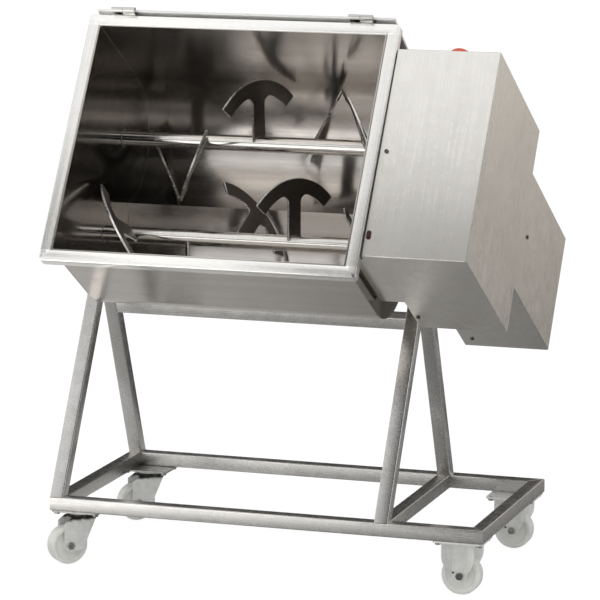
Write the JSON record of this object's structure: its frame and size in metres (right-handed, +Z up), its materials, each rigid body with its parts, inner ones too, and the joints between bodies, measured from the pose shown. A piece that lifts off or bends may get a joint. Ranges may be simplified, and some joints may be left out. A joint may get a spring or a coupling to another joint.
{
  "type": "tilting double-shaft meat mixer",
  "caption": "Tilting stainless meat mixer: open tub with two paddle shafts, side drive housing and hanging lid on a wheeled tube frame.",
  "frame": {"origin": "on the floor under the middle of the rectangular base frame", "axes": "+X along the machine from the tub towards the drive housing, +Y from the side the tub tips out of towards the back, +Z up"},
  "size_m": [0.9919, 0.8529, 1.2074],
  "materials": {
    "frame_steel": "satin ground stainless tube",
    "machined_steel": "turned stainless",
    "zinc_plated": "bright zinc",
    "fastener_steel": "stainless",
    "white_nylon": "smooth off-white nylon",
    "tub_steel": "polished stainless sheet",
    "rim_steel": "satin ground stainless",
    "housing_steel": "brushed stainless sheet",
    "hinge_steel": "satin stainless",
    "shaft_steel": "polished stainless bar",
    "paddle_steel": "darker polished stainless plate",
    "gear_steel": "machined steel, lightly oiled",
    "reducer_aluminium": "cast aluminium, sand texture",
    "motor_paint": "grey-blue machine paint",
    "bearing_iron": "painted cast iron",
    "control_plate": "satin stainless",
    "red_plastic": "glossy red",
    "green_plastic": "glossy green",
    "black_plastic": "matt black",
    "lamp_red": "dark red lens"
  },
  "bodies": {
    "stand": {"rail_front": "frame_steel", "rail_rear": "frame_steel", "rail_left": "frame_steel", "rail_right": "frame_steel", "rail_cross": "frame_steel", "leg_front_left": "frame_steel", "leg_rear_left": "frame_steel", "leg_front_right": "frame_steel", "leg_rear_right": "frame_steel", "crossbar": "frame_steel", "pivot_hubs": "machined_steel", "swivel_plates": "zinc_plated", "castor_bolts": "fastener_steel", "fixed_forks": "zinc_plated"},
    "head": {"tub_shell": "tub_steel", "tub_end_left": "tub_steel", "tub_end_right": "tub_steel", "rim_frame": "rim_steel", "trunnion_left": "machined_steel", "trunnion_right": "machined_steel", "drive_plate": "machined_steel", "housing_cover": "housing_steel", "motor_cover": "housing_steel", "side_panel": "housing_steel", "gear_reducer": "reducer_aluminium", "drive_motor": "motor_paint", "shaft_bearings": "bearing_iron", "control_panel": "control_plate", "contact_blocks": "black_plastic", "indicator_lamp": "lamp_red", "cover_screws": "fastener_steel", "cable_gland": "black_plastic", "hinge_bases": "hinge_steel"},
    "lid": {"lid_panel": "housing_steel", "lid_hinges": "hinge_steel"},
    "front_mixer": {"front_shaft": "shaft_steel", "front_gear": "gear_steel", "front_paddle_1": "paddle_steel", "front_paddle_2": "paddle_steel", "front_paddle_3": "paddle_steel", "front_paddle_4": "paddle_steel", "front_paddle_5": "paddle_steel"},
    "rear_mixer": {"rear_shaft": "shaft_steel", "rear_gear": "gear_steel", "rear_paddle_1": "paddle_steel", "rear_paddle_2": "paddle_steel", "rear_paddle_3": "paddle_steel", "rear_paddle_4": "paddle_steel", "rear_paddle_5": "paddle_steel"},
    "emergency_stop": {"emergency_button": "red_plastic"},
    "start": {"start_button": "green_plastic"},
    "stop": {"stop_button": "black_plastic"},
    "swivel_front": {"swivel_fork_front": "zinc_plated", "swivel_axle_front": "fastener_steel"},
    "swivel_rear": {"swivel_fork_rear": "zinc_plated", "swivel_axle_rear": "fastener_steel"},
    "wheel_swivel_front": {"swivel_wheel_front": "white_nylon"},
    "wheel_swivel_rear": {"swivel_wheel_rear": "white_nylon"},
    "wheel_fixed_front": {"fixed_wheel_front": "white_nylon"},
    "wheel_fixed_rear": {"fixed_wheel_rear": "white_nylon"}
  },
  "joints": [
    {"name": "head_tilt", "type": "hinge", "parent": "stand", "child": "head", "pos_m": [0, 0.04454, 0.64755], "axis": [1, 0, 0], "range_deg": [-57.4, 40]},
    {"name": "lid_hinge", "type": "hinge", "parent": "head", "child": "lid", "pos_m": [0, -0.09832, 1.20185], "axis": [1, 0, 0], "range_deg": [0, 275.5]},
    {"name": "front_shaft_spin", "type": "hinge", "parent": "head", "child": "front_mixer", "pos_m": [0, -0.09981, 0.71138], "axis": [1, 0, 0], "continuous": true},
    {"name": "rear_shaft_spin", "type": "hinge", "parent": "head", "child": "rear_mixer", "pos_m": [0, 0.02411, 0.90515], "axis": [1, 0, 0], "continuous": true},
    {"name": "emergency_press", "type": "slide", "parent": "head", "child": "emergency_stop", "axis": [0, -0.5388, -0.8425], "range_m": [0, 0.004], "stiffness_N_per_m": 600},
    {"name": "start_press", "type": "slide", "parent": "head", "child": "start", "axis": [0, -0.5388, -0.8425], "range_m": [0, 0.004], "stiffness_N_per_m": 400},
    {"name": "stop_press", "type": "slide", "parent": "head", "child": "stop", "axis": [0, -0.5388, -0.8425], "range_m": [0, 0.004], "stiffness_N_per_m": 400},
    {"name": "castor_swivel_front", "type": "hinge", "parent": "stand", "child": "swivel_front", "pos_m": [-0.433, -0.208, 0.1], "axis": [0, 0, 1], "continuous": true},
    {"name": "castor_swivel_rear", "type": "hinge", "parent": "stand", "child": "swivel_rear", "pos_m": [-0.433, 0.208, 0.1], "axis": [0, 0, 1], "continuous": true},
    {"name": "wheel_roll_swivel_front", "type": "hinge", "parent": "swivel_front", "child": "wheel_swivel_front", "pos_m": [-0.45818, -0.23231, 0.0425], "axis": [-0.6947, 0.7193, 0], "continuous": true},
    {"name": "wheel_roll_swivel_rear", "type": "hinge", "parent": "swivel_rear", "child": "wheel_swivel_rear", "pos_m": [-0.46058, 0.18645, 0.0425], "axis": [-0.6157, 0.788, 0], "continuous": true},
    {"name": "wheel_roll_fixed_front", "type": "hinge", "parent": "stand", "child": "wheel_fixed_front", "pos_m": [0.433, -0.208, 0.0425], "axis": [0, 1, 0], "continuous": true},
    {"name": "wheel_roll_fixed_rear", "type": "hinge", "parent": "stand", "child": "wheel_fixed_rear", "pos_m": [0.433, 0.208, 0.0425], "axis": [0, 1, 0], "continuous": true}
  ],
  "couplings": [
    {"joint": "rear_shaft_spin", "follows": "front_shaft_spin", "ratio": -1}
  ]
}
